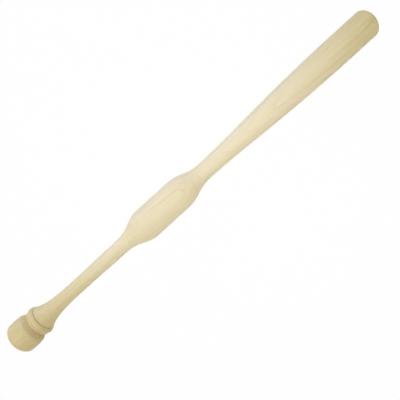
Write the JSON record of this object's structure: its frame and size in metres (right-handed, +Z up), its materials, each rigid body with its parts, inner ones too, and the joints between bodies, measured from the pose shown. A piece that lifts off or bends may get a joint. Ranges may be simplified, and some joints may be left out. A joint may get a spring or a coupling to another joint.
{
  "type": "wooden training bat",
  "caption": "Slim turned wooden bat with a rounded swell above the handle, a tapered barrel and a ball knob behind a beaded collar, for swing practice.",
  "frame": {"origin": "centre of the knob's flat end face, on the bat's axis", "axes": "+X along the bat's axis from the knob to the barrel's tip, +Z up with the bat lying down"},
  "size_m": [0.838, 0.0584, 0.0584],
  "materials": {
    "body_maple": "bare pale maple, finely sanded, satin",
    "knob_maple": "bare pale maple, finely sanded, satin"
  },
  "bodies": {
    "root": {"bat_body": "body_maple", "knob_collar": "knob_maple", "knob_ball": "knob_maple"}
  },
  "joints": []
}
